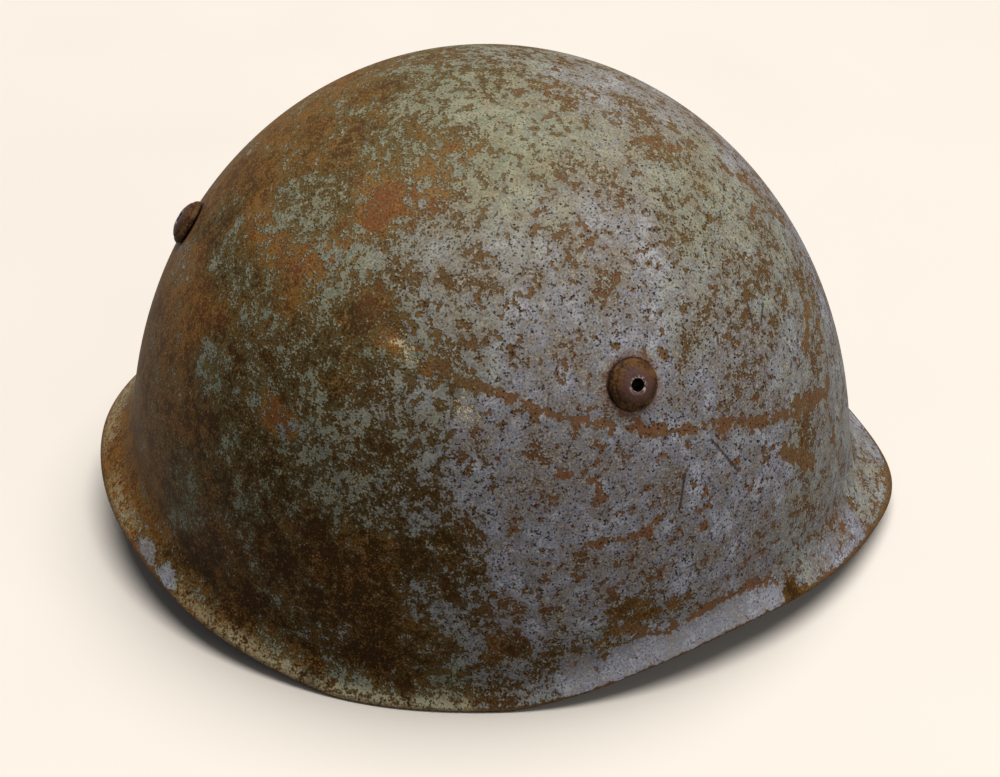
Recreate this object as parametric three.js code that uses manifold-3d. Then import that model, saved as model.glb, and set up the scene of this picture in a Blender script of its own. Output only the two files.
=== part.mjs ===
// Pressed steel combat helmet: a one-piece shell with a turned-out rim, and three hollow vent rivets.
// Millimetres, +Z up. The origin is on the table, under the middle of the rim's length and width.
// The front is towards -Y and the wearer's left is towards +X. Angles are turned from the front
// towards the wearer's left.

import * as THREE from 'three';
import { ParametricGeometry } from 'three/addons/geometries/ParametricGeometry.js';
import { mergeVertices } from 'three/addons/utils/BufferGeometryUtils.js';
import Module from 'manifold-3d';

// Bowl: half lengths at table level, and how full its side profile is (2 is an ellipse)
const SHELL_HEIGHT = 162.3;
const BOWL_FRONT = 129.8;
const BOWL_REAR = 126.7;
const BOWL_SIDE = 115.1;
const FULLNESS_AT_ENDS = 2.35;
const FULLNESS_AT_SIDES = 3.03;
const BOWL_CENTRE_Y = 4;
const WALL = 1.2;

// Rim: overhang past the bowl as measured at FOOT_HEIGHT, height of the edge over the table,
// and drop of the edge below the crease where the bowl turns outwards.
// A height below zero is trimmed flat on the table, which gives each side a stretch to rest on.
const FOOT_HEIGHT = 30;
const RIM_STATIONS = [
  { angle: 0, overhang: 17.5, height: 7.5, drop: 13 },
  { angle: 15, overhang: 12, height: 9.5, drop: 12 },
  { angle: 30, overhang: 7.5, height: 12.5, drop: 9.5 },
  { angle: 45, overhang: 4.5, height: 14, drop: 7.5 },
  { angle: 60, overhang: 4, height: 10.5, drop: 6.5 },
  { angle: 75, overhang: 4.5, height: 4, drop: 6 },
  { angle: 90, overhang: 5, height: -1.2, drop: 6 },
  { angle: 105, overhang: 6.5, height: -0.8, drop: 6.5 },
  { angle: 120, overhang: 7.5, height: 4.5, drop: 7 },
  { angle: 135, overhang: 9, height: 10.5, drop: 8 },
  { angle: 150, overhang: 10, height: 17, drop: 9 },
  { angle: 165, overhang: 11.5, height: 20.5, drop: 9.5 },
  { angle: 180, overhang: 12.5, height: 22.5, drop: 10 },
];
const BEND_SHARE = 0.5; // share of the flare's width that its rounded crease takes up

// Facets of the shell
const SLICES = 84;
const DOME_ROWS = 16;
const BEND_ROWS = 4;
const FLARE_ROWS = 1;
const ROWS = DOME_ROWS + BEND_ROWS + FLARE_ROWS;

// Vent rivets: one at the nape and one ahead of each ear
const RIVETS = [
  { name: 'rivet_right', angle: -60 },
  { name: 'rivet_left', angle: 60 },
  { name: 'rivet_rear', angle: 180 },
];
const RIVET_HEIGHT = 107.3;
const HEAD_RADIUS = 8;
const HEAD_RISE = 4.3;
const HEAD_EDGE = 1.1;
const CROWN_RADIUS = 3.4;
const VENT_RADIUS = 2;
const SHANK_RADIUS = 3.5;
const TAIL_RADIUS = 5.8;
const TAIL_THICKNESS = 0.9;
const CLEARANCE = 0.3;
const RIVET_SIDES = 28;
const HEAD_CURVE_POINTS = 6;
const DRILL_LENGTH = 14;
const DRILL_SIDES = 24;

const UP = new THREE.Vector3(0, 0, 1);
const STEP = 1e-3; // step of the numeric derivatives

const wasm = await Module();
wasm.setup();

// Smooth curve through one column of the rim table, flat in slope at the front and at the rear
function rimColumn(column) {
  const angles = RIM_STATIONS.map((station) => station.angle);
  const values = RIM_STATIONS.map((station) => station[column]);
  const curve = new THREE.CubicInterpolant(angles, values, 1);
  curve.settings = { endingStart: THREE.ZeroSlopeEnding, endingEnd: THREE.ZeroSlopeEnding };
  return (degrees) => curve.evaluate(degrees)[0];
}

const rimOverhang = rimColumn('overhang');
const rimHeight = rimColumn('height');
const rimDrop = rimColumn('drop');

// Horizontal radius of the bowl's outer face
function bowlRadius(angle, height) {
  const ahead = Math.cos(angle);
  const aside = Math.sin(angle);
  const halfLength = ahead > 0 ? BOWL_FRONT : BOWL_REAR;
  const plan = 1 / Math.hypot(ahead / halfLength, aside / BOWL_SIDE);
  const fullness = THREE.MathUtils.lerp(FULLNESS_AT_ENDS, FULLNESS_AT_SIDES, aside * aside);
  return plan * Math.sqrt(1 - Math.pow(height / SHELL_HEIGHT, fullness));
}

// Key points of the shell's outer section at one angle, as radius and height
function sectionAt(angle) {
  const fromFront = THREE.MathUtils.radToDeg(Math.acos(Math.cos(angle)));
  const edgeHeight = Math.max(rimHeight(fromFront), 0);
  const creaseHeight = edgeHeight + rimDrop(fromFront);
  const edge = new THREE.Vector2(bowlRadius(angle, FOOT_HEIGHT) + rimOverhang(fromFront), edgeHeight);
  const crease = new THREE.Vector2(bowlRadius(angle, creaseHeight), creaseHeight);
  const bendTopHeight = creaseHeight + BEND_SHARE * crease.distanceTo(edge);
  const bendTop = new THREE.Vector2(bowlRadius(angle, bendTopHeight), bendTopHeight);
  const bendEnd = crease.clone().lerp(edge, BEND_SHARE);
  const bend = new THREE.QuadraticBezierCurve(bendTop, crease, bendEnd);
  return { bendTopHeight, bend, bendEnd, edge };
}

// Point on the section: rows run from the crown down the dome, round the bend and out to the edge
function sectionPoint(angle, row) {
  const section = sectionAt(angle);
  if (row <= DOME_ROWS) {
    const share = Math.cos((row / DOME_ROWS) * Math.PI / 2);
    const height = THREE.MathUtils.lerp(section.bendTopHeight, SHELL_HEIGHT, share);
    return new THREE.Vector2(bowlRadius(angle, height), height);
  }
  if (row <= DOME_ROWS + BEND_ROWS) {
    return section.bend.getPoint((row - DOME_ROWS) / BEND_ROWS);
  }
  return section.bendEnd.clone().lerp(section.edge, (row - DOME_ROWS - BEND_ROWS) / FLARE_ROWS);
}

function place(angle, radius, height) {
  return new THREE.Vector3(radius * Math.sin(angle), BOWL_CENTRE_Y - radius * Math.cos(angle), height);
}

function outerPoint(angle, row) {
  const point = sectionPoint(angle, row);
  return place(angle, point.x, point.y);
}

function bowlPoint(angle, height) {
  return place(angle, bowlRadius(angle, height), height);
}

// Outward unit normal of a surface given as a function of an angle and a second parameter
function outwardNormal(surface, angle, along) {
  const around = surface(angle + STEP, along).sub(surface(angle - STEP, along));
  const down = surface(angle, along).sub(surface(angle, along - STEP));
  const normal = around.cross(down).normalize();
  const outward = new THREE.Vector3(Math.sin(angle), -Math.cos(angle), 0);
  return normal.dot(outward) < 0 ? normal.negate() : normal;
}

// Inner face: one wall thickness inside the outer one, with the rim's edge cut level
function innerPoint(angle, row) {
  const outer = outerPoint(angle, row);
  if (row === 0) {
    return outer.addScaledVector(UP, -WALL);
  }
  const normal = outwardNormal(outerPoint, angle, row);
  if (row < ROWS) {
    return outer.addScaledVector(normal, -WALL);
  }
  const level = new THREE.Vector3(normal.x, normal.y, 0);
  return outer.addScaledVector(level, -WALL / level.lengthSq());
}

// Closed solid from a geometry: corners are merged and triangles that collapse at a pole dropped
function solidFrom(geometry) {
  geometry.deleteAttribute('normal');
  geometry.deleteAttribute('uv');
  const merged = mergeVertices(geometry);
  const triangles = [];
  for (let first = 0; first < merged.index.count; first += 3) {
    const corners = [0, 1, 2].map((offset) => merged.index.getX(first + offset));
    if (new Set(corners).size === 3) {
      triangles.push(...corners);
    }
  }
  return new wasm.Manifold(new wasm.Mesh({
    numProp: 3,
    vertProperties: new Float32Array(merged.attributes.position.array),
    triVerts: new Uint32Array(triangles),
  }));
}

function geometryFrom(solid) {
  const mesh = solid.getMesh();
  const geometry = new THREE.BufferGeometry();
  geometry.setAttribute('position', new THREE.BufferAttribute(mesh.vertProperties, 3));
  geometry.setIndex(new THREE.BufferAttribute(mesh.triVerts, 1));
  geometry.computeVertexNormals();
  return geometry;
}

// Seat of a rivet: its point on the bowl, with +Z turned along the outward normal
function rivetSeat(degrees) {
  const angle = THREE.MathUtils.degToRad(degrees);
  const normal = outwardNormal(bowlPoint, angle, RIVET_HEIGHT);
  return {
    position: bowlPoint(angle, RIVET_HEIGHT),
    quaternion: new THREE.Quaternion().setFromUnitVectors(UP, normal),
  };
}

// Shell: inner rows from the crown to the edge, then outer rows back up, drilled for the rivets
function shellGeometry() {
  const stacks = 2 * ROWS + 1;
  const surface = (turn, along, target) => {
    const angle = Math.round(turn * SLICES) % SLICES / SLICES * 2 * Math.PI;
    const stack = Math.round(along * stacks);
    target.copy(stack <= ROWS ? innerPoint(angle, stack) : outerPoint(angle, stacks - stack));
  };
  let shell = solidFrom(new ParametricGeometry(surface, SLICES, stacks));
  for (const rivet of RIVETS) {
    const seat = rivetSeat(rivet.angle);
    const radius = SHANK_RADIUS + CLEARANCE;
    const drill = new THREE.CylinderGeometry(radius, radius, DRILL_LENGTH, DRILL_SIDES);
    drill.rotateX(Math.PI / 2);
    drill.applyQuaternion(seat.quaternion);
    drill.translate(seat.position.x, seat.position.y, seat.position.z);
    shell = shell.subtract(solidFrom(drill));
  }
  return geometryFrom(shell);
}

// Rivet: a low domed head, a hollow shank through the wall and a tail clinched over inside
function rivetGeometry() {
  const headCurve = new THREE.QuadraticBezierCurve(
    new THREE.Vector2(HEAD_RADIUS, HEAD_EDGE),
    new THREE.Vector2(HEAD_RADIUS - HEAD_EDGE, HEAD_RISE - HEAD_EDGE),
    new THREE.Vector2(CROWN_RADIUS, HEAD_RISE),
  );
  const tailTop = -WALL - 2 * CLEARANCE;
  const tailEnd = tailTop - TAIL_THICKNESS;
  const outline = [
    new THREE.Vector2(VENT_RADIUS, tailEnd),
    new THREE.Vector2(TAIL_RADIUS, tailEnd),
    new THREE.Vector2(TAIL_RADIUS, tailTop),
    new THREE.Vector2(SHANK_RADIUS, tailTop),
    new THREE.Vector2(SHANK_RADIUS, CLEARANCE),
    new THREE.Vector2(HEAD_RADIUS, CLEARANCE),
    ...headCurve.getPoints(HEAD_CURVE_POINTS),
    new THREE.Vector2(VENT_RADIUS, HEAD_RISE - CLEARANCE),
    new THREE.Vector2(VENT_RADIUS, tailEnd),
  ];
  const geometry = new THREE.LatheGeometry(outline, RIVET_SIDES);
  geometry.rotateX(Math.PI / 2);
  return geometry;
}

const helmet = new THREE.Group();

const shellPaint = new THREE.MeshStandardMaterial({ color: 0x74747c, roughness: 0.7, metalness: 0.3 });
const shell = new THREE.Mesh(shellGeometry(), shellPaint);
shell.name = 'shell';
helmet.add(shell);

for (const rivet of RIVETS) {
  const rust = new THREE.MeshStandardMaterial({ color: 0x5b4038, roughness: 0.6, metalness: 0.6 });
  const mesh = new THREE.Mesh(rivetGeometry(), rust);
  const seat = rivetSeat(rivet.angle);
  mesh.name = rivet.name;
  mesh.position.copy(seat.position);
  mesh.quaternion.copy(seat.quaternion);
  helmet.add(mesh);
}

export default helmet;
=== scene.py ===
import math
from collections import namedtuple

import bmesh
import bpy
import numpy as np
from mathutils import Matrix, Vector, noise


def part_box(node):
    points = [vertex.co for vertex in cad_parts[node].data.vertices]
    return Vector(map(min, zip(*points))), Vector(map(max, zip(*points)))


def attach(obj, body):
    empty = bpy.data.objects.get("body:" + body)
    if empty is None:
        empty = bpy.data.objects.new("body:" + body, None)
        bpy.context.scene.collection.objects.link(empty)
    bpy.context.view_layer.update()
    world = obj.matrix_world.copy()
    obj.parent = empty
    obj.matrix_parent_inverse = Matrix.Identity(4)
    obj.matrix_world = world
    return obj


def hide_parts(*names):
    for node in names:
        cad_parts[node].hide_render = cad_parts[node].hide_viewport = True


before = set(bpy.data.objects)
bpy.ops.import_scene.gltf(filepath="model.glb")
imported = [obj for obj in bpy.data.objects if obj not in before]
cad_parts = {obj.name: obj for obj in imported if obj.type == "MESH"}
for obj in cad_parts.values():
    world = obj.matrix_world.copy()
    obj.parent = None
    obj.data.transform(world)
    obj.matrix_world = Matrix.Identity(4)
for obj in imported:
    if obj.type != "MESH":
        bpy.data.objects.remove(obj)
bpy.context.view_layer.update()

MM = 0.001

# Photograph: frame in pixels, and the camera that its outline was taken with
PHOTO_WIDTH = 1000
PHOTO_HEIGHT = 777
FOCAL_PIXELS = 2200
CAMERA_ELEVATION = 36.0
CAMERA_AZIMUTH = -87.15
CAMERA_DISTANCE = 755 * MM
AIM_HEIGHT = 80 * MM
AIM_PIXEL = (486.0, 298.9)
SENSOR_WIDTH = 36.0
NEAREST_SEEN = 10 * MM

# Light and table, in metres, watts and radians
HELMET_MIDDLE = (0, 0, 80 * MM)
WARM_WHITE = (1.0, 0.98, 0.95)
CEILING_PLACE = (0.32, -0.34, 2.6)
CEILING_SPREAD = math.radians(48)
CEILING_STRENGTH = 9.0
WINDOW_PLACE = (-0.9, -1.2, 0.5)
WINDOW_SIDE = 0.8
WINDOW_WATTS = 10
ROOM_WHITE = (0.97, 0.98, 1.0, 1)
ROOM_STRENGTH = 0.28
TABLE_HALF = 6

# Shell form, as the solids have it
BOWL_FRONT = 129.8 * MM
BOWL_REAR = 126.7 * MM
BOWL_SIDE = 115.1 * MM
FULLNESS_AT_ENDS = 2.35
FULLNESS_AT_SIDES = 3.03
BOWL_CENTRE_Y = 4 * MM
WALL = 1.2 * MM
FOOT_HEIGHT = 30 * MM
SHELL_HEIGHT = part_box("shell")[1].z
BEND_SHARE = 0.5

RimStation = namedtuple("RimStation", "angle overhang height drop")
RIM_STATIONS = [
    RimStation(0, 17.5, 7.5, 13),
    RimStation(15, 12, 9.5, 12),
    RimStation(30, 7.5, 12.5, 9.5),
    RimStation(45, 4.5, 14, 7.5),
    RimStation(60, 4, 10.5, 6.5),
    RimStation(75, 4.5, 4, 6),
    RimStation(90, 5, -1.2, 6),
    RimStation(105, 6.5, -0.8, 6.5),
    RimStation(120, 7.5, 4.5, 7),
    RimStation(135, 9, 10.5, 8),
    RimStation(150, 10, 17, 9),
    RimStation(165, 11.5, 20.5, 9.5),
    RimStation(180, 12.5, 22.5, 10),
]
STATION_STEP = 15

# Rows of the pressed section, and where they end on the scale from crown to edge
SPOKES = 300
DOME_ROWS = 120
BEND_ROWS = 12
FLARE_ROWS = 8
ROWS = DOME_ROWS + BEND_ROWS + FLARE_ROWS
DOME_END = 90
BEND_END = 96
EDGE_END = 100
EDGE_ROUNDING = 0.3 * MM
ROUNDING_STEPS = 2
ROUNDED_FROM = math.radians(50)
EDGE_LIFT = 0.72 * MM
MERGE_REACH = 1e-7

# Vent rivets
Rivet = namedtuple("Rivet", "node bearing")
RIVETS = [Rivet("rivet_right", 60), Rivet("rivet_left", -60), Rivet("rivet_rear", 180)]
RIVET_HEIGHT = 107.3 * MM
HEAD_RADIUS = 8 * MM
HEAD_RISE = 4.3 * MM
HEAD_EDGE = 1.1 * MM
CROWN_RADIUS = 3.4 * MM
VENT_RADIUS = 2 * MM
SHANK_RADIUS = 3.5 * MM
TAIL_RADIUS = 5.8 * MM
TAIL_THICKNESS = 0.9 * MM
CLEARANCE = 0.3 * MM
DOME_STEPS = 16
GROOVE_SHARE = 0.38
GROOVE_WIDTH = 0.06
GROOVE_DEPTH = 0.18 * MM
RIVET_STEPS = 64

# Finish: zones of the outside by bearing (degrees from the front towards the wearer's right) and by
# place down the section (0 crown, 90 top of the rim's bend, 100 edge), with reach in millimetres.
# cover is the share of paint that still holds, green how far the paint has turned grey-green,
# ember how orange the rust is, and pits how thickly the paint is peppered with pits.
Zone = namedtuple("Zone", "bearing down reach cover green ember pits")
ZONES = [
    Zone(40, 6, 16, 0.84, 0.65, 0.15, 0.3),
    Zone(100, 6, 14, 0.62, 0.70, 0.25, 0.2),
    Zone(150, 7, 16, 0.36, 0.70, 0.20, 0.1),
    Zone(3, 12, 12, 0.40, 0.20, 0.70, 0.2),
    Zone(20, 14, 12, 0.86, 0.45, 0.20, 0.3),
    Zone(45, 13, 14, 0.80, 0.55, 0.10, 0.3),
    Zone(70, 10, 14, 0.75, 0.80, 0.10, 0.2),
    Zone(75, 17, 12, 0.80, 0.70, 0.10, 0.2),
    Zone(93, 13, 9, 0.60, 0.70, 0.35, 0.2),
    Zone(104, 12, 8, 0.16, 0.30, 1.00, 0.2),
    Zone(110, 16, 8, 0.30, 0.50, 0.75, 0.3),
    Zone(125, 15, 12, 0.45, 0.70, 0.30, 0.2),
    Zone(142, 14, 12, 0.40, 0.85, 0.25, 0.1),
    Zone(160, 13, 12, 0.34, 0.85, 0.25, 0.1),
    Zone(14, 24, 10, 0.66, 0.45, 0.40, 0.5),
    Zone(30, 22, 12, 0.82, 0.40, 0.20, 0.5),
    Zone(48, 20, 10, 0.72, 0.50, 0.15, 0.6),
    Zone(60, 25, 12, 0.80, 0.40, 0.10, 0.6),
    Zone(76, 25, 9, 0.70, 0.40, 0.30, 0.5),
    Zone(86, 24, 10, 0.75, 0.60, 0.15, 0.3),
    Zone(95, 27, 10, 0.70, 0.40, 0.20, 0.4),
    Zone(106, 24, 8, 0.34, 0.30, 0.70, 0.3),
    Zone(122, 26, 8, 0.22, 0.30, 0.90, 0.3),
    Zone(131, 24, 8, 0.30, 0.40, 0.70, 0.3),
    Zone(144, 28, 12, 0.45, 0.80, 0.20, 0.2),
    Zone(168, 27, 16, 0.08, 0.40, 0.30, 0.1),
    Zone(3, 35, 14, 0.75, 0.50, 0.25, 0.5),
    Zone(20, 34, 12, 0.60, 0.50, 0.30, 0.6),
    Zone(34, 33, 12, 0.62, 0.50, 0.20, 0.8),
    Zone(50, 34, 12, 0.82, 0.10, 0.10, 0.8),
    Zone(61, 42, 11, 0.84, 0.10, 0.00, 0.7),
    Zone(73, 36, 12, 0.74, 0.20, 0.15, 0.7),
    Zone(86, 37, 10, 0.70, 0.35, 0.20, 0.6),
    Zone(98, 34, 10, 0.70, 0.30, 0.10, 0.5),
    Zone(111, 34, 10, 0.55, 0.40, 0.30, 0.5),
    Zone(104, 40, 9, 0.35, 0.50, 0.40, 0.5),
    Zone(117, 38, 9, 0.50, 0.60, 0.30, 0.4),
    Zone(130, 38, 8, 0.28, 0.40, 0.70, 0.3),
    Zone(142, 34, 10, 0.50, 0.90, 0.20, 0.2),
    Zone(148, 40, 8, 0.15, 0.40, 0.70, 0.2),
    Zone(168, 39, 16, 0.08, 0.40, 0.35, 0.1),
    Zone(8, 50, 14, 0.65, 0.45, 0.30, 0.5),
    Zone(22, 48, 12, 0.70, 0.45, 0.20, 0.6),
    Zone(37, 48, 11, 0.72, 0.38, 0.10, 0.8),
    Zone(75, 46, 11, 0.84, 0.10, 0.05, 0.6),
    Zone(85, 54, 9, 0.80, 0.15, 0.00, 0.7),
    Zone(94, 44, 8, 0.55, 0.50, 0.30, 0.4),
    Zone(106, 43.2, 2.5, 0.10, 0.20, 0.95, 0.1),
    Zone(97, 46, 2.5, 0.10, 0.20, 0.95, 0.1),
    Zone(101, 51, 10, 0.60, 0.40, 0.10, 0.4),
    Zone(113, 46, 10, 0.30, 0.70, 0.20, 0.4),
    Zone(120, 51, 9, 0.45, 0.70, 0.10, 0.3),
    Zone(110, 58, 10, 0.50, 0.50, 0.15, 0.4),
    Zone(127, 45, 9, 0.25, 0.60, 0.40, 0.3),
    Zone(124, 59, 4, 0.30, 0.20, 0.90, 0.2),
    Zone(134, 51, 10, 0.35, 0.80, 0.20, 0.2),
    Zone(153, 48, 9, 0.40, 1.00, 0.10, 0.1),
    Zone(166, 46, 8, 0.35, 1.00, 0.10, 0.1),
    Zone(160, 58, 16, 0.05, 0.30, 0.42, 0.1),
    Zone(12, 61, 8, 0.65, 0.40, 0.40, 0.3),
    Zone(16, 66, 6, 0.60, 0.40, 0.40, 0.3),
    Zone(21, 65, 11, 0.75, 0.36, 0.10, 0.4),
    Zone(36, 61, 12, 0.78, 0.25, 0.05, 0.7),
    Zone(51, 67, 12, 0.92, 0.05, 0.05, 0.9),
    Zone(66, 65, 11, 0.84, 0.05, 0.10, 0.8),
    Zone(79, 67, 10, 0.86, 0.10, 0.10, 0.7),
    Zone(88, 64, 9, 0.66, 0.20, 0.15, 0.6),
    Zone(97, 62, 10, 0.50, 0.30, 0.10, 0.4),
    Zone(107, 64, 10, 0.52, 0.50, 0.05, 0.3),
    Zone(96, 71, 9, 0.30, 0.30, 0.10, 0.3),
    Zone(119, 67, 10, 0.42, 0.60, 0.05, 0.2),
    Zone(131, 65, 10, 0.30, 0.70, 0.14, 0.2),
    Zone(140, 62, 8, 0.35, 1.00, 0.18, 0.1),
    Zone(108, 74, 11, 0.06, 0.30, 0.15, 0.2),
    Zone(128, 74, 10, 0.25, 0.70, 0.10, 0.2),
    Zone(158, 72, 20, 0.03, 0.40, 0.28, 0.1),
    Zone(14, 79, 14, 0.86, 0.36, 0.10, 0.4),
    Zone(28, 76, 8, 0.62, 0.40, 0.30, 0.5),
    Zone(31, 85, 9, 0.75, 0.40, 0.20, 0.4),
    Zone(45, 80, 12, 0.92, 0.05, 0.05, 0.9),
    Zone(60, 79, 10, 0.86, 0.05, 0.10, 0.9),
    Zone(56, 87, 6, 0.45, 0.10, 0.40, 0.5),
    Zone(66, 86, 8, 0.35, 0.20, 0.30, 0.5),
    Zone(76, 79, 10, 0.75, 0.10, 0.15, 0.6),
    Zone(83, 86, 9, 0.48, 0.20, 0.20, 0.4),
    Zone(90, 78, 8, 0.48, 0.20, 0.15, 0.4),
    Zone(97, 84, 8, 0.30, 0.40, 0.20, 0.3),
    Zone(106, 86, 12, 0.05, 0.20, 0.10, 0.1),
    Zone(120, 83, 12, 0.12, 0.50, 0.10, 0.1),
    Zone(134, 85, 12, 0.06, 0.40, 0.17, 0.1),
    Zone(144, 82, 8, 0.30, 1.00, 0.18, 0.1),
    Zone(165, 86, 18, 0.03, 0.30, 0.38, 0.1),
    Zone(6, 96, 8, 0.70, 0.40, 0.30, 0.2),
    Zone(20, 97, 7, 0.88, 0.10, 0.10, 0.2),
    Zone(35, 98, 2.2, 0.10, 0.00, 0.20, 0.0),
    Zone(44, 96, 5, 1.60, 0.00, 0.00, 0.0),
    Zone(53, 96, 5, 1.60, 0.00, 0.00, 0.0),
    Zone(62, 96, 5, 1.60, 0.00, 0.00, 0.0),
    Zone(71, 97, 5, 1.30, 0.10, 0.00, 0.0),
    Zone(81, 96, 7, 0.60, 0.30, 0.10, 0.3),
    Zone(93, 97, 7, 0.55, 0.80, 0.20, 0.3),
    Zone(108, 98, 7, 0.50, 0.90, 0.20, 0.3),
    Zone(124, 98, 7, 0.40, 0.80, 0.30, 0.3),
    Zone(136, 98, 6, 0.20, 0.60, 0.30, 0.2),
    Zone(143, 99, 2.2, 1.20, 0.20, 0.00, 0.0),
    Zone(149, 99, 2.2, 1.20, 0.20, 0.00, 0.0),
    Zone(160, 98, 9, 0.12, 0.60, 0.45, 0.1),
    Zone(178, 97, 10, 0.12, 0.60, 0.45, 0.1),
    Zone(-25, 20, 22, 0.75, 0.20, 0.20, 0.4),
    Zone(-60, 12, 18, 0.60, 0.40, 0.25, 0.3),
    Zone(-110, 20, 24, 0.45, 0.50, 0.30, 0.3),
    Zone(-155, 30, 24, 0.15, 0.50, 0.40, 0.2),
    Zone(-20, 55, 24, 0.80, 0.10, 0.20, 0.5),
    Zone(-65, 45, 24, 0.85, 0.10, 0.10, 0.6),
    Zone(-105, 55, 24, 0.60, 0.30, 0.20, 0.4),
    Zone(-150, 65, 24, 0.20, 0.50, 0.30, 0.2),
    Zone(-40, 85, 22, 0.85, 0.10, 0.10, 0.5),
    Zone(-85, 82, 22, 0.65, 0.20, 0.20, 0.4),
    Zone(-125, 88, 22, 0.25, 0.50, 0.30, 0.2),
]
FIELDS = ("cover", "green", "ember", "pits")
Wear = namedtuple("Wear", FIELDS)
FAR_PULL = 0.001

# The borders of the zones wander by this grain and reach
RAGGED_GRAIN = 22 * MM
RAGGED_REACH = 11 * MM
RAGGED_OCTAVES = 4
RAGGED_OFFSETS = (Vector((0, 0, 0)), Vector((31, 17, 5)), Vector((7, 41, 23)))

# Marks: lines of bare rust, pale crusts, scratches and dents, drawn through points of bearing and down
Mark = namedtuple("Mark", "half_width points")
RUST_LINES = [
    Mark(0.6, [(106, 43), (98, 45), (90, 48), (83, 49.5), (75, 53)]),
    Mark(0.8, [(83, 49.5), (75, 53), (67, 56)]),
    Mark(1.3, [(67, 56), (58, 59.5), (50, 62), (43, 64), (37, 66), (27, 70), (17, 72.5)]),
    Mark(0.8, [(75, 60.8), (71, 62.5), (68.3, 63.7), (68.2, 66.2)]),
    Mark(1.0, [(61, 72.8), (58, 71.4)]),
    Mark(0.7, [(75, 71.5), (67, 72.2), (62, 73)]),
    Mark(1.6, [(65, 87), (59, 90.4), (49, 90), (43, 90.3), (37.5, 92.4)]),
    Mark(2.6, [(27.5, 68.2), (18.5, 71.8)]),
    Mark(2.6, [(32.5, 73.2), (26, 78.8)]),
    Mark(1.8, [(11.5, 60.5), (19, 63.5)]),
    Mark(0.7, [(10.5, 63.2), (11, 66.2), (13, 69.8)]),
    Mark(0.6, [(13.5, 70.8), (17.5, 73.5), (16, 86)]),
    Mark(0.7, [(12.5, 24.8), (9, 28.5), (0, 34)]),
    Mark(0.6, [(0.5, 39.2), (-3, 44.2), (-1.5, 50), (-2, 54.2)]),
    Mark(0.5, [(4, 45), (10, 44.8)]),
]
CRUSTS = [
    Mark(0.2, [(104.5, 43), (101, 45)]),
    Mark(0.5, [(91, 50), (89.5, 52.6)]),
]
SCRATCHES = [
    Mark(0.45, [(47.5, 64.5), (43.5, 70.8)]),
    Mark(0.45, [(53.5, 67.2), (55, 71.5)]),
    Mark(0.45, [(29, 51), (30.5, 54)]),
    Mark(0.45, [(25, 52.8), (28, 54.5)]),
    Mark(0.35, [(101, 47.5), (97.5, 48), (94, 48.8)]),
]
DENTS = [Mark(0.0, [(107.5, 41.5), (101.5, 45.2), (95, 48.2), (89.5, 51.8)])]
DENT_DEPTH = 0.6 * MM
DENT_REACH = 3.5
LINE_REACH = 12.0
MARK_SOFTNESS = 0.3
PIT_SPACING = 1.3 * MM

# Gloss, the thin oil film on the rear of the shell, and the depth of each finish's relief
DULL_GLOSS = 0.03
OIL_ROUGHNESS = 0.35
OIL_START = 60 * MM
OIL_END = 110 * MM
SHELL_RELIEF = 0.35 * MM
INSIDE_RELIEF = 0.25 * MM
EDGE_RELIEF = 0.2 * MM
RIVET_RELIEF = 0.3 * MM
TABLE_RELIEF = 0.02 * MM


def srgb(red, green, blue):
    """Linear colour from display values of 0 to 255."""
    def linear(value):
        share = value / 255
        return share / 12.92 if share <= 0.04045 else ((share + 0.055) / 1.055) ** 2.4
    return (linear(red), linear(green), linear(blue), 1.0)


# Form of the shell

def rim_value(column, degrees):
    """Smooth curve through one column of the rim table, level at the front and at the rear."""
    values = [getattr(station, column) for station in RIM_STATIONS]
    mirrored = [values[1]] + values + [values[-2]]
    first = min(int(degrees // STATION_STEP), len(values) - 2)
    share = degrees / STATION_STEP - first
    before, start, end, after = mirrored[first:first + 4]
    slope = (end - before) / 2
    next_slope = (after - start) / 2
    cubic = 2 * start - 2 * end + slope + next_slope
    square = 3 * end - 3 * start - 2 * slope - next_slope
    return ((cubic * share + square) * share + slope) * share + start


def bowl_radius(angle, height):
    """Horizontal radius of the bowl's outer face."""
    ahead = math.cos(angle)
    aside = math.sin(angle)
    half_length = BOWL_FRONT if ahead > 0 else BOWL_REAR
    plan = 1 / math.hypot(ahead / half_length, aside / BOWL_SIDE)
    fullness = FULLNESS_AT_ENDS + (FULLNESS_AT_SIDES - FULLNESS_AT_ENDS) * aside * aside
    return plan * math.sqrt(max(1 - (height / SHELL_HEIGHT) ** fullness, 0))


def section_point(angle, down):
    """Radius and height on the outer section, from 0 at the crown to 100 at the edge."""
    from_front = math.degrees(math.acos(max(-1, min(1, math.cos(angle)))))
    edge_height = max(rim_value("height", from_front) * MM, EDGE_LIFT)
    crease_height = edge_height + rim_value("drop", from_front) * MM
    overhang = rim_value("overhang", from_front) * MM
    edge = Vector((bowl_radius(angle, FOOT_HEIGHT) + overhang, edge_height))
    crease = Vector((bowl_radius(angle, crease_height), crease_height))
    bend_top_height = crease_height + BEND_SHARE * (edge - crease).length
    if down <= DOME_END:
        share = math.cos(math.radians(down))
        height = bend_top_height + (SHELL_HEIGHT - bend_top_height) * share
        return Vector((bowl_radius(angle, height), height))
    bend_top = Vector((bowl_radius(angle, bend_top_height), bend_top_height))
    bend_end = crease.lerp(edge, BEND_SHARE)
    if down <= BEND_END:
        share = (down - DOME_END) / (BEND_END - DOME_END)
        return bend_top.lerp(crease, share).lerp(crease.lerp(bend_end, share), share)
    return bend_end.lerp(edge, (down - BEND_END) / (EDGE_END - BEND_END))


def shell_point(bearing, down):
    """Point of the shell's outer face. Bearings run from the front towards the wearer's right."""
    angle = math.radians(bearing)
    point = section_point(angle, down)
    return Vector((-point.x * math.sin(angle), BOWL_CENTRE_Y - point.x * math.cos(angle), point.y))


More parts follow.
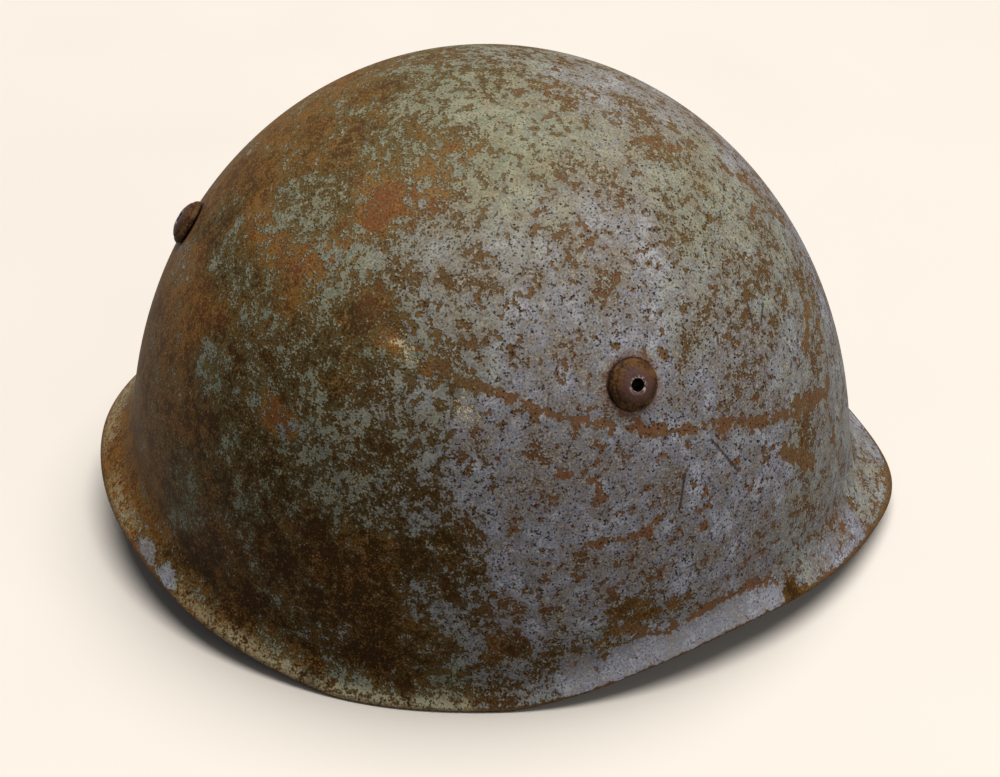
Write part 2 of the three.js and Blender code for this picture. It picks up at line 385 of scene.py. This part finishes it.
def down_of_row(row):
    """Place down the section of a ring of the blank."""
    if row <= DOME_ROWS:
        return DOME_END * row / DOME_ROWS
    if row <= DOME_ROWS + BEND_ROWS:
        return DOME_END + (BEND_END - DOME_END) * (row - DOME_ROWS) / BEND_ROWS
    return BEND_END + (EDGE_END - BEND_END) * (row - DOME_ROWS - BEND_ROWS) / FLARE_ROWS


def rivet_seat(bearing):
    """Matrix that puts a rivet on the bowl, with its +Z along the outward normal."""
    def bowl_point(angle, height):
        radius = bowl_radius(angle, height)
        return Vector((-radius * math.sin(angle), BOWL_CENTRE_Y - radius * math.cos(angle), height))
    angle = math.radians(bearing)
    step = 0.1 * MM
    turn = 0.001
    around = bowl_point(angle + turn, RIVET_HEIGHT) - bowl_point(angle - turn, RIVET_HEIGHT)
    upward = bowl_point(angle, RIVET_HEIGHT + step) - bowl_point(angle, RIVET_HEIGHT - step)
    normal = upward.cross(around).normalized()
    place = bowl_point(angle, RIVET_HEIGHT)
    if normal.dot(place) < 0:
        normal.negate()
    return Matrix.Translation(place) @ Vector((0, 0, 1)).rotation_difference(normal).to_matrix().to_4x4()


# Pieces

def linked_object(name, mesh, materials):
    """Object from a bmesh, linked to the scene."""
    data = bpy.data.meshes.new(name)
    mesh.to_mesh(data)
    mesh.free()
    for material in materials:
        data.materials.append(material)
    piece = bpy.data.objects.new(name, data)
    bpy.context.scene.collection.objects.link(piece)
    return piece


def finished_object(name, mesh, materials, node):
    """Smooth object that rides on the part's one body in place of a solid."""
    piece = linked_object(name, mesh, materials)
    piece.data.polygons.foreach_set("use_smooth", [True] * len(piece.data.polygons))
    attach(piece, "root")
    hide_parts(node)
    return piece


def spun(mesh, outline, closed, steps):
    """Full turn about Z of an outline of radius and height."""
    corners = [mesh.verts.new((radius, 0, height)) for radius, height in outline]
    pairs = list(zip(corners, corners[1:]))
    if closed:
        pairs.append((corners[-1], corners[0]))
    edges = [mesh.edges.new(pair) for pair in pairs]
    bmesh.ops.spin(mesh, geom=corners + edges, cent=(0, 0, 0), axis=(0, 0, 1),
                   angle=2 * math.pi, steps=steps, use_merge=True)
    bmesh.ops.remove_doubles(mesh, verts=mesh.verts[:], dist=MERGE_REACH)


def shell_mesh():
    """Flat round blank of rings and spokes, pressed into the shell and punched for the rivets."""
    mesh = bmesh.new()
    spun(mesh, [(row, 0) for row in range(ROWS + 1)], False, SPOKES)
    down_layer = mesh.verts.layers.float.new("down")
    for vert in mesh.verts:
        down = down_of_row(round(math.hypot(vert.co.x, vert.co.y)))
        bearing = math.degrees(math.atan2(-vert.co.x, -vert.co.y))
        vert[down_layer] = down
        vert.co = shell_point(bearing, down)
    bmesh.ops.recalc_face_normals(mesh, faces=mesh.faces[:])
    press_dents(mesh)
    for rivet in RIVETS:
        punch(mesh, rivet_seat(rivet.bearing))
    return mesh


def press_dents(mesh):
    """Presses the shell in along the lines of its dents."""
    mesh.normal_update()
    gaps = line_gaps(np.array([vert.co for vert in mesh.verts]), DENTS)
    for vert, gap in zip(mesh.verts, gaps):
        vert.co -= vert.normal * DENT_DEPTH * math.exp(-(gap / DENT_REACH) ** 2)


def punch(mesh, seat):
    """Round hole at a rivet's seat: faces inside it go, and its ragged edge is drawn to a circle."""
    radius = SHANK_RADIUS + CLEARANCE
    to_seat = seat.inverted()
    inside = []
    for face in mesh.faces:
        local = to_seat @ face.calc_center_median()
        if abs(local.z) < HEAD_RISE and math.hypot(local.x, local.y) < radius:
            inside.append(face)
    bmesh.ops.delete(mesh, geom=inside, context="FACES")
    for vert in mesh.verts:
        local = to_seat @ vert.co
        if vert.is_boundary and abs(local.z) < HEAD_RISE and math.hypot(local.x, local.y) < 2 * radius:
            local.xy = local.xy.normalized() * radius
            vert.co = seat @ local


def rivet_outline():
    """Section of a vent rivet: tail, shank and a low domed head with a groove, round the vent."""
    tail_top = -WALL - 2 * CLEARANCE
    tail_end = tail_top - TAIL_THICKNESS
    rim = Vector((HEAD_RADIUS, HEAD_EDGE))
    shoulder = Vector((HEAD_RADIUS - HEAD_EDGE, HEAD_RISE - HEAD_EDGE))
    crown = Vector((CROWN_RADIUS, HEAD_RISE))
    dome = []
    for step in range(DOME_STEPS + 1):
        share = step / DOME_STEPS
        point = rim.lerp(shoulder, share).lerp(shoulder.lerp(crown, share), share)
        groove = GROOVE_DEPTH * math.exp(-((share - GROOVE_SHARE) / GROOVE_WIDTH) ** 2)
        dome.append(point - Vector((groove, groove)))
    return [
        (VENT_RADIUS, tail_end),
        (TAIL_RADIUS, tail_end),
        (TAIL_RADIUS, tail_top),
        (SHANK_RADIUS, tail_top),
        (SHANK_RADIUS, CLEARANCE),
        (HEAD_RADIUS, CLEARANCE),
        *[tuple(point) for point in dome],
        (VENT_RADIUS + CLEARANCE, HEAD_RISE),
        (VENT_RADIUS, HEAD_RISE - CLEARANCE),
    ]


def rivet_mesh(seat):
    """Turned rivet, with its distance from the axis kept for the finish."""
    mesh = bmesh.new()
    spun(mesh, rivet_outline(), True, RIVET_STEPS)
    bmesh.ops.recalc_face_normals(mesh, faces=mesh.faces[:])
    axis_layer = mesh.verts.layers.float.new("from_axis")
    for vert in mesh.verts:
        vert[axis_layer] = math.hypot(vert.co.x, vert.co.y) / HEAD_RADIUS
    bmesh.ops.transform(mesh, matrix=seat, verts=mesh.verts[:])
    return mesh


def round_edges(piece):
    """Rounds the sharp edges of a piece."""
    rounding = piece.modifiers.new("edge_rounding", "BEVEL")
    rounding.width = EDGE_ROUNDING
    rounding.segments = ROUNDING_STEPS
    rounding.limit_method = "ANGLE"
    rounding.angle_limit = ROUNDED_FROM


def chart_fields(piece):
    """Keeps the zones and the distances from rust lines, crusts and rivets as fields of the shell."""
    places = np.array([vert.co for vert in piece.data.vertices])
    shifts = np.array([ragged_shift(vert.co) for vert in piece.data.vertices])
    weights = np.stack([zone_weight(zone, places, shifts) for zone in ZONES], axis=1)
    weights /= weights.sum(axis=1, keepdims=True)
    for field in FIELDS:
        add_field(piece, field, weights @ np.array([getattr(zone, field) for zone in ZONES]))
    add_field(piece, "line", line_gaps(places, RUST_LINES))
    add_field(piece, "crust", line_gaps(places, CRUSTS))
    add_field(piece, "from_rivet", rivet_gaps(places))


def zone_weight(zone, places, shifts):
    """Pull of a zone at each place. The borders of a small zone wander less."""
    reach = zone.reach * MM
    wander = shifts * min(reach / RAGGED_REACH, 1)
    middle = np.array(shell_point(zone.bearing, zone.down))
    gap = np.linalg.norm(places + wander - middle, axis=1) / reach
    return np.exp(-gap ** 2) + FAR_PULL * np.exp(-gap)


def ragged_shift(place):
    """Shift that makes the borders of the zones wander, the same in every run."""
    spot = place / RAGGED_GRAIN
    parts = [noise.turbulence(spot + offset, RAGGED_OCTAVES, False) for offset in RAGGED_OFFSETS]
    return Vector(parts) * RAGGED_REACH


def add_field(piece, name, values):
    """Attribute of one number for each vertex."""
    layer = piece.data.attributes.new(name, "FLOAT", "POINT")
    layer.data.foreach_set("value", values)


def line_gaps(places, table):
    """Distance in millimetres from each place to the nearest line's border, negative on the line."""
    nearest = np.full(len(places), LINE_REACH)
    for mark in table:
        points = [np.array(shell_point(*point)) for point in mark.points]
        for start, end in zip(points, points[1:]):
            along = end - start
            share = np.clip((places - start) @ along / (along @ along), 0, 1)
            gap = np.linalg.norm(places - start - share[:, None] * along, axis=1) / MM
            nearest = np.minimum(nearest, gap - mark.half_width)
    return nearest


def rivet_gaps(places):
    """Distance in millimetres from each place to the edge of the nearest rivet head."""
    nearest = np.full(len(places), LINE_REACH)
    for rivet in RIVETS:
        seat = rivet_seat(rivet.bearing)
        gap = np.linalg.norm(places - np.array(seat.translation), axis=1)
        nearest = np.minimum(nearest, (gap - HEAD_RADIUS) / MM)
    return nearest


# Shader sheet: sockets that add up as Python values do

class Value:
    """A shader socket that takes part in sums."""

    def __init__(self, sheet, socket):
        self.sheet = sheet
        self.socket = socket

    def __add__(self, other):
        return self.sheet.math("ADD", self, other)

    def __sub__(self, other):
        return self.sheet.math("SUBTRACT", self, other)

    def __rsub__(self, other):
        return self.sheet.math("SUBTRACT", other, self)

    def __mul__(self, other):
        return self.sheet.math("MULTIPLY", self, other)

    __radd__ = __add__
    __rmul__ = __mul__


class Sheet:
    """A material's node sheet."""

    def __init__(self, name):
        self.material = bpy.data.materials.new(name)
        self.material.use_nodes = True
        self.tree = self.material.node_tree
        self.shader = self.tree.nodes["Principled BSDF"]

    def node(self, kind, settings, sockets, output=0):
        """Adds a node, sets its settings, fills its sockets and gives one output as a Value."""
        made = self.tree.nodes.new(kind)
        for setting, value in settings.items():
            setattr(made, setting, value)
        for socket, value in sockets.items():
            self.fill(made.inputs[socket], value)
        return Value(self, made.outputs[output])

    def other_output(self, value, output):
        return Value(self, value.socket.node.outputs[output])

    def fill(self, socket, value):
        if isinstance(value, Value):
            self.tree.links.new(value.socket, socket)
        else:
            socket.default_value = value

    def math(self, operation, first, second):
        return self.node("ShaderNodeMath", {"operation": operation}, {0: first, 1: second})

    def larger(self, first, second):
        return self.math("MAXIMUM", first, second)

    def smaller(self, first, second):
        return self.math("MINIMUM", first, second)

    def vector(self, operation, first, second, output=0):
        return self.node("ShaderNodeVectorMath", {"operation": operation}, {0: first, 1: second}, output)

    def place(self):
        return self.node("ShaderNodeTexCoord", {}, {}, "Object")

    def field(self, name):
        settings = {"attribute_type": "GEOMETRY", "attribute_name": name}
        return self.node("ShaderNodeAttribute", settings, {}, "Fac")

    def noise(self, place, grain, detail, roughness):
        """Cloudy noise whose blotches measure about grain millimetres."""
        sockets = {"Vector": place, "Scale": 1 / (grain * MM), "Detail": detail, "Roughness": roughness}
        return self.node("ShaderNodeTexNoise", {}, sockets, "Fac")

    def rise(self, value, low, high):
        """Smooth step from 0 at low to 1 at high."""
        sockets = {0: value, 1: low, 2: high}
        return self.node("ShaderNodeMapRange", {"interpolation_type": "SMOOTHSTEP"}, sockets)

    def blend(self, share, low, high):
        """Colour that goes from low to high."""
        return self.node("ShaderNodeMix", {"data_type": "RGBA"}, {0: share, 6: low, 7: high}, 2)

    def from_segment(self, place, start, end):
        """Distance in millimetres from a straight line between two points."""
        along = end - start
        offset = self.vector("SUBTRACT", place, tuple(start))
        reach = self.vector("DOT_PRODUCT", offset, tuple(along / along.length_squared), 1)
        held = self.smaller(self.larger(reach, 0), 1)
        nearest = self.vector("SCALE", tuple(along), (0, 0, 0))
        self.fill(nearest.socket.node.inputs["Scale"], held)
        return self.vector("DISTANCE", offset, nearest, 1) * (1 / MM)

    def marks(self, place, table):
        """1 on the lines of a table of marks, and 0 off them."""
        found = None
        for mark in table:
            points = [shell_point(*point) for point in mark.points]
            for start, end in zip(points, points[1:]):
                gap = self.from_segment(place, start, end) - mark.half_width
                found = gap if found is None else self.smaller(found, gap)
        return 1 - self.rise(found, -MARK_SOFTNESS, MARK_SOFTNESS)

    def polish(self, weight):
        """Thin clear oil film that gleams where the surface is seen at a slant."""
        self.shader.inputs["Coat Roughness"].default_value = OIL_ROUGHNESS
        self.fill(self.shader.inputs["Coat Weight"], weight)

    def finish(self, colour, roughness, metallic, height, depth):
        """Links the shader, with a height in the range of 0 to 1 that stands for depth metres."""
        self.shader.inputs["Specular IOR Level"].default_value = DULL_GLOSS
        normal = self.node("ShaderNodeBump", {}, {"Height": height, "Strength": 1.0, "Distance": depth})
        wanted = {"Base Color": colour, "Roughness": roughness, "Metallic": metallic, "Normal": normal}
        for socket, value in wanted.items():
            self.fill(self.shader.inputs[socket], value)
        return self.material


# Finishes

RUST_DARK = srgb(33, 20, 4)
RUST_BROWN = srgb(91, 61, 23)
RUST_OCHRE = srgb(88, 55, 38)
RUST_OLIVE = srgb(70, 54, 34)
RUST_ORANGE = srgb(92, 58, 26)
RUST_RED = srgb(66, 29, 14)
PAINT_BLUE = srgb(88, 89, 97)
PAINT_PALE = srgb(107, 108, 114)
PAINT_DARK = srgb(65, 65, 71)
PAINT_GREEN = srgb(97, 96, 82)
PAINT_TEAL = srgb(69, 78, 69)
PAINT_SHADE_LOW_COVER = srgb(50, 52, 44)
STAIN_BROWN = srgb(70, 60, 44)
HAZE_OLIVE = srgb(64, 58, 34)
DUST_PALE = srgb(116, 108, 86)
CROWN_FILM_AND_LIGHT_TAN = srgb(104, 94, 68)
# Dark of the pits and hollows, also used for the painted shadow at the flakes' edges.
PIT_AND_SHADOW_DARK = srgb(20, 14, 9)
FLECK_PALE = srgb(146, 144, 126)
CRUST_CREAM = srgb(146, 138, 114)
SCRATCH_DARK = srgb(34, 28, 21)
CREVICE_RUST_AND_SHADE = srgb(26, 17, 9)
STAIN_RED = srgb(76, 52, 42)
EDGE_BROWN = srgb(45, 31, 17)
LINE_RED = srgb(72, 45, 36)
INSIDE_GREY = srgb(80, 80, 82)
RAW_RUST_AND_SHADE_DARK = srgb(26, 18, 12)
RAW_BROWN = srgb(62, 42, 26)
RIVET_DARK = srgb(20, 12, 6)
RIVET_BROWN = srgb(66, 44, 23)
RIVET_CROWN = srgb(54, 38, 36)
RIVET_BRIGHT = srgb(140, 128, 122)
VENT_SHADE_BLACK = srgb(8, 6, 5)
TABLE_SHADE = srgb(150, 145, 139)
TABLE_WHITE = srgb(153, 148, 142)

# Noises of a finish, from large blotches to small grains
Grain = namedtuple("Grain", "broad tone fine grit")


def fine_mottle(grain):
    """Mix of the two smallest noises."""
    return grain.fine * 0.6 + grain.grit * 0.4


def rust_colour(sheet, grain, ember, thin):
    """Dark brown rust, lighter in embers, ochre or olive under worn paint, with orange and red specks."""
    mottle = grain.broad * 0.35 + grain.tone * 0.25 + grain.fine * 0.2 + grain.grit * 0.2
    patchy = grain.broad * 0.35 + grain.tone * 0.35 + grain.grit * 0.3
    speckle = grain.fine * 0.4 + grain.tone * 0.25 + grain.grit * 0.35
    lighter = sheet.rise(mottle + ember * 0.35 + thin * 0.04, 0.49, 0.75)
    brown = sheet.blend(lighter, RUST_DARK, RUST_BROWN)
    scale = sheet.blend(sheet.rise(patchy, 0.44, 0.56), RUST_OCHRE, RUST_OLIVE)
    ochre = sheet.blend(sheet.rise(thin * 0.5 + mottle * 0.8, 0.56, 0.92), brown, scale)
    fresh = sheet.rise(speckle + ember * 0.12, 0.54, 0.66)
    orange = sheet.blend(fresh * 0.42, ochre, RUST_ORANGE)
    deep = sheet.rise(ember * 0.27 - patchy, -0.37, -0.29)
    return sheet.blend(deep * 0.7, orange, RUST_RED)


def paint_colour(sheet, grain, wear):
    """Blue-grey paint, stained, paler where it is rubbed or whole, grey-green where it has weathered, and
    darkened as painted shade where little of it holds, mostly on the rear and left.
    """
    clean = sheet.rise(grain.tone * 0.5 + grain.grit * 0.5, 0.38, 0.58)
    plain = sheet.blend(clean, PAINT_DARK, PAINT_BLUE)
    rubbing = sheet.rise(fine_mottle(grain) + grain.broad * 0.5, 0.76, 0.94)
    rubbed = sheet.blend(rubbing, plain, PAINT_PALE)
    weathered = sheet.blend(sheet.rise(grain.tone + grain.grit * 0.6, 0.7, 0.92), PAINT_TEAL, PAINT_GREEN)
    weathering = sheet.rise(wear.green + grain.tone * 0.8 + grain.broad * 0.4, 0.8, 1.3)
    coat = sheet.blend(weathering, rubbed, weathered)
    stain = sheet.rise(grain.grit * 0.4 + grain.fine * 0.3 - grain.broad * 0.7, -0.01, 0.02)
    stained = sheet.blend(stain * 0.6, coat, STAIN_BROWN)
    whole = sheet.blend(sheet.rise(wear.cover, 1.0, 1.4) * 0.3, stained, PAINT_PALE)
    # Painted shade: paint is darkened where the cover is low, which darkens the rear and left walls.
    return sheet.blend((1 - sheet.rise(wear.cover, 0.3, 0.8)) * 0.5, whole, PAINT_SHADE_LOW_COVER)


def paint_hold(sheet, grain, wear):
    """How far the paint holds, above 0, by the large patches alone and with the chips in them."""
    patches = grain.broad * 0.52 + grain.fine * 0.3 + grain.grit * 0.18 - 0.5
    in_patches = patches + (wear.cover - 0.43) * 0.2
    flakes = grain.fine * 0.85 + grain.grit * 0.15 + grain.tone * 0.7 - 0.75
    in_flakes = flakes + (wear.cover - 0.7) * 0.14
    return in_patches, sheet.smaller(in_patches, in_flakes)


def paint_pits(sheet, place, grain, wear):
    """1 in the ragged pits that pepper the paint, and 0 elsewhere."""
    dots = sheet.node("ShaderNodeTexVoronoi", {}, {"Vector": place, "Scale": 1 / PIT_SPACING}, "Distance")
    chance = sheet.other_output(dots, "Color")
    wanted = sheet.rise(wear.pits * 0.5 + chance * 0.5 + grain.broad - 0.5, 0.4, 0.8)
    ragged = dots + grain.fine * 0.6 + grain.grit * 0.5 - wanted * 0.2
    return (1 - sheet.rise(ragged, 0.53, 0.68)) * sheet.rise(wanted, 0.0, 0.4)


def dusted_and_crown_lit(sheet, colour, paint, grain, wear, down):
    """Colour with the tan film on the crown, which also paints the warm light falling on the top, dark
    hollows, pale peaks and dust on the rim.
    """
    # Painted light: the tan film warms and lightens the crown, as the warm light from above does.
    film = 1 - sheet.rise(down + grain.tone * 30, 40, 80)
    colour = sheet.blend(film * (paint * 0.14 + 0.08), colour, CROWN_FILM_AND_LIGHT_TAN)
    sunken = sheet.larger(1 - paint, sheet.rise(grain.tone, 0.4, 0.65))
    hollow = (1 - sheet.rise(grain.grit, 0.3, 0.5)) * sunken
    colour = sheet.blend(hollow * (paint * 0.2 + 0.4), colour, PIT_AND_SHADOW_DARK)
    peak = sheet.rise(grain.grit + grain.fine * 0.4, 0.78, 0.95)
    colour = sheet.blend(peak * (paint * 0.14 + 0.06), colour, FLECK_PALE)
    on_rim = sheet.rise(down, 94.5, 97.5) * sheet.rise(wear.green, 0.3, 0.7)
    dust = on_rim * sheet.rise(fine_mottle(grain), 0.42, 0.56)
    return sheet.blend(dust * 0.6, colour, DUST_PALE)


def marked(sheet, colour, place, grain):
    """Colour with the scratches, the crusts, the stain round the rivets, and the dark rust and painted
    shade in the crevice round each rivet head.
    """
    mottle = fine_mottle(grain)
    colour = sheet.blend(sheet.marks(place, SCRATCHES) * 0.85, colour, SCRATCH_DARK)
    crust = 1 - sheet.rise(sheet.field("crust") + (mottle - 0.5) * 24, -0.5, 0.6)
    colour = sheet.blend(crust * 0.6, colour, CRUST_CREAM)
    from_rivet = sheet.field("from_rivet")
    stained = 1 - sheet.rise(from_rivet + mottle * 9, 4.5, 8.0)
    colour = sheet.blend(stained * 0.7, colour, STAIN_RED)
    # Dark rust with painted shade: a dark ring just outside each rivet head, where the head meets the
    # shell.
    crevice = 1 - sheet.rise(from_rivet + mottle, 0.6, 1.5)
    return sheet.blend(crevice * 0.9, colour, CREVICE_RUST_AND_SHADE)


def shell_finish():
    """Outside of the shell: pitted paint that has flaked down to brown rust."""
    sheet = Sheet("worn_blue_grey_paint")
    place = sheet.place()
    grain = Grain(
        broad=sheet.noise(place, grain=14, detail=4, roughness=0.72),
        tone=sheet.noise(place, grain=6.5, detail=3, roughness=0.6),
        fine=sheet.noise(place, grain=2.4, detail=2, roughness=0.65),
        grit=sheet.noise(place, grain=0.7, detail=1, roughness=0.5),
    )
    wear = Wear(*[sheet.field(name) for name in FIELDS])
    down = sheet.field("down")

    worn_edge = sheet.rise(down + grain.fine * 3, 100.3, 101.4)
    lined = 1 - sheet.rise(sheet.field("line") + (grain.fine + grain.tone) * 7 - 7, -0.6, 1.0)
    in_patches, chipped = paint_hold(sheet, grain, wear)
    held = chipped - sheet.larger(lined, worn_edge) * 0.3
    paint = sheet.rise(held, -0.02, 0.035)
    pit = paint_pits(sheet, place, grain, wear)

    rust = rust_colour(sheet, grain, wear.ember, wear.cover)
    rust = sheet.blend(lined * 0.4, rust, LINE_RED)
    haze = sheet.rise(in_patches, -0.1, -0.005) * (0.15 + wear.green * 0.65)
    hazed = sheet.blend(haze * 0.75, rust, HAZE_OLIVE)
    # Painted shadow: the rust just beside the paint's edge is darkened, as if the raised edge of the
    # flake shaded it.
    flake_edge_shadowed = sheet.blend(sheet.rise(held, -0.03, 0.0) * 0.5, hazed, PIT_AND_SHADOW_DARK)
    coat = paint_colour(sheet, grain, wear)
    frayed = sheet.blend((1 - sheet.rise(held, 0.0, 0.025)) * 0.5, coat, HAZE_OLIVE)
    colour = sheet.blend(paint, flake_edge_shadowed, frayed)
    colour = dusted_and_crown_lit(sheet, colour, paint, grain, wear, down)
    colour = sheet.blend(worn_edge * 0.7, colour, EDGE_BROWN)
    colour = sheet.blend(pit * 0.8, colour, PIT_AND_SHADOW_DARK)
    colour = marked(sheet, colour, place, grain)

    roughness = 0.6 - paint * 0.06 + grain.fine * 0.14
    metallic = 0.06 - paint * 0.06
    rearward = sheet.vector("DOT_PRODUCT", place, (0, 1, 0), 1)
    sheet.polish(sheet.rise(rearward, OIL_START, OIL_END) * (0.07 - paint * 0.05))
    height = paint * 0.45 + grain.grit * 0.25 - pit * 0.5 + grain.fine * 0.3
    return sheet.finish(colour, roughness, metallic, height, SHELL_RELIEF)


def inside_finish():
    """Inside of the shell: dull brown rust with remains of grey paint."""
    sheet = Sheet("inside_rust")
    place = sheet.place()
    broad = sheet.noise(place, grain=16, detail=5, roughness=0.7)
    fine = sheet.noise(place, grain=2, detail=3, roughness=0.68)
    paint = sheet.rise(broad * 0.5 + fine * 0.5, 0.51, 0.54)
    rust = rust_colour(sheet, Grain(broad, broad, fine, fine), broad * 0.5, 0.2)
    colour = sheet.blend(paint * 0.8, rust, INSIDE_GREY)
    height = paint * 0.4 + fine * 0.5
    return sheet.finish(colour, 0.68 + fine * 0.15, 0.1 - paint * 0.08, height, INSIDE_RELIEF)


def edge_finish():
    """Raw edge of the sheet: bare rust, painted dark also as the shadow on the thin edge."""
    sheet = Sheet("raw_edge_rust_and_shade")
    place = sheet.place()
    fine = sheet.noise(place, grain=2.5, detail=6, roughness=0.7)
    # Painted shade: both browns are kept dark, so the raw edge shows as a shadowed line.
    colour = sheet.blend(sheet.rise(fine, 0.4, 0.65), RAW_RUST_AND_SHADE_DARK, RAW_BROWN)
    return sheet.finish(colour, 0.6 + fine * 0.2, 0.3 - fine * 0.2, fine, EDGE_RELIEF)


def rivet_finish():
    """Rivet: brown rust at the edge, violet brown on the crown, worn bright round a vent whose bore is
    painted black as its shade.
    """
    sheet = Sheet("rivet_rust")
    place = sheet.place()
    from_axis = sheet.field("from_axis")
    broad = sheet.noise(place, grain=4, detail=4, roughness=0.65)
    fine = sheet.noise(place, grain=0.9, detail=3, roughness=0.6)
    mottle = broad * 0.5 + fine * 0.5
    rust = sheet.blend(sheet.rise(mottle, 0.36, 0.62), RIVET_DARK, RIVET_BROWN)
    crown = 1 - sheet.rise(from_axis + mottle * 0.5, 0.7, 1.1)
    colour = sheet.blend(crown * 0.85, rust, RIVET_CROWN)
    ring = (1 - sheet.rise(from_axis, 0.28, 0.42)) * sheet.rise(fine, 0.45, 0.6)
    colour = sheet.blend(ring * 0.8, colour, RIVET_BRIGHT)
    # Painted shade: the bore of the vent is coloured black.
    vent = 1 - sheet.rise(from_axis, 0.255, 0.27)
    colour = sheet.blend(vent, colour, VENT_SHADE_BLACK)
    roughness = 0.5 - crown * 0.1 + mottle * 0.15
    height = fine * 0.6 + broad * 0.6
    return sheet.finish(colour, roughness, ring * 0.4, height, RIVET_RELIEF)


def table_finish():
    """Pale painted table top."""
    sheet = Sheet("pale_table")
    place = sheet.place()
    cloud = sheet.noise(place, grain=90, detail=1, roughness=0.5)
    colour = sheet.blend(cloud, TABLE_SHADE, TABLE_WHITE)
    return sheet.finish(colour, 0.55 + cloud * 0.1, 0.0, cloud, TABLE_RELIEF)


# Building

def build_shell():
    """Shell of one sheet, with its own finish outside, inside and on the raw edge."""
    finishes = [shell_finish(), inside_finish(), edge_finish()]
    piece = finished_object("shell_skin", shell_mesh(), finishes, "shell")
    chart_fields(piece)
    wall = piece.modifiers.new("wall", "SOLIDIFY")
    wall.thickness = WALL
    wall.offset = -1
    wall.use_even_offset = True
    wall.material_offset = 1
    wall.material_offset_rim = 2
    round_edges(piece)


def build_rivets():
    """Three alike rivets, each on its own seat."""
    finish = rivet_finish()
    for rivet in RIVETS:
        mesh = rivet_mesh(rivet_seat(rivet.bearing))
        round_edges(finished_object(rivet.node + "_head", mesh, [finish], rivet.node))


def build_table():
    """Wide level table top."""
    mesh = bmesh.new()
    bmesh.ops.create_grid(mesh, x_segments=2, y_segments=2, size=TABLE_HALF)
    table = linked_object("table", mesh, [table_finish()])


def build_camera():
    """Camera at the photograph's angle, with the aim point at its pixel."""
    elevation = math.radians(CAMERA_ELEVATION)
    azimuth = math.radians(CAMERA_AZIMUTH)
    back = Vector((math.sin(azimuth) * math.cos(elevation),
                   -math.cos(azimuth) * math.cos(elevation), math.sin(elevation)))
    right = Vector((math.cos(azimuth), math.sin(azimuth), 0))
    up = back.cross(right)
    per_pixel = CAMERA_DISTANCE / FOCAL_PIXELS
    aside = (PHOTO_WIDTH / 2 - AIM_PIXEL[0]) * per_pixel
    upward = (AIM_PIXEL[1] - PHOTO_HEIGHT / 2) * per_pixel
    aim = Vector((0, BOWL_CENTRE_Y, AIM_HEIGHT))
    camera = bpy.data.cameras.new("camera")
    camera.sensor_fit = "HORIZONTAL"
    camera.sensor_width = SENSOR_WIDTH
    camera.lens = SENSOR_WIDTH * FOCAL_PIXELS / PHOTO_WIDTH
    camera.clip_start = NEAREST_SEEN
    view = bpy.data.objects.new("camera", camera)
    turn = Matrix((right, up, back)).transposed().to_4x4()
    place = aim + back * CAMERA_DISTANCE + right * aside + up * upward
    view.matrix_world = Matrix.Translation(place) @ turn
    bpy.context.scene.collection.objects.link(view)
    bpy.context.scene.camera = view


def place_light(lamp, place):
    """Light that faces the helmet from a place."""
    lamp.color = WARM_WHITE
    light = bpy.data.objects.new(lamp.name, lamp)
    light.location = place
    light.rotation_euler = (Vector(place) - Vector(HELMET_MIDDLE)).to_track_quat("Z", "Y").to_euler()
    bpy.context.scene.collection.objects.link(light)


def build_ceiling_light():
    """Distant soft light, wide enough to blur the shadows and even all over the table."""
    lamp = bpy.data.lights.new("ceiling", "SUN")
    lamp.angle = CEILING_SPREAD
    lamp.energy = CEILING_STRENGTH
    place_light(lamp, CEILING_PLACE)


def build_window_light():
    """Weak low light from the front, which fills the walls under the rivet."""
    lamp = bpy.data.lights.new("window", "AREA")
    lamp.shape = "SQUARE"
    lamp.size = WINDOW_SIDE
    lamp.energy = WINDOW_WATTS
    place_light(lamp, WINDOW_PLACE)


def build_room():
    """Dimly lit room round the table."""
    world = bpy.data.worlds.new("studio")
    world.use_nodes = True
    background = world.node_tree.nodes["Background"]
    background.inputs["Color"].default_value = ROOM_WHITE
    background.inputs["Strength"].default_value = ROOM_STRENGTH
    bpy.context.scene.world = world


build_camera()
build_shell()
build_rivets()
build_table()
build_ceiling_light()
build_window_light()
build_room()
bpy.context.scene.view_settings.view_transform = "Standard"
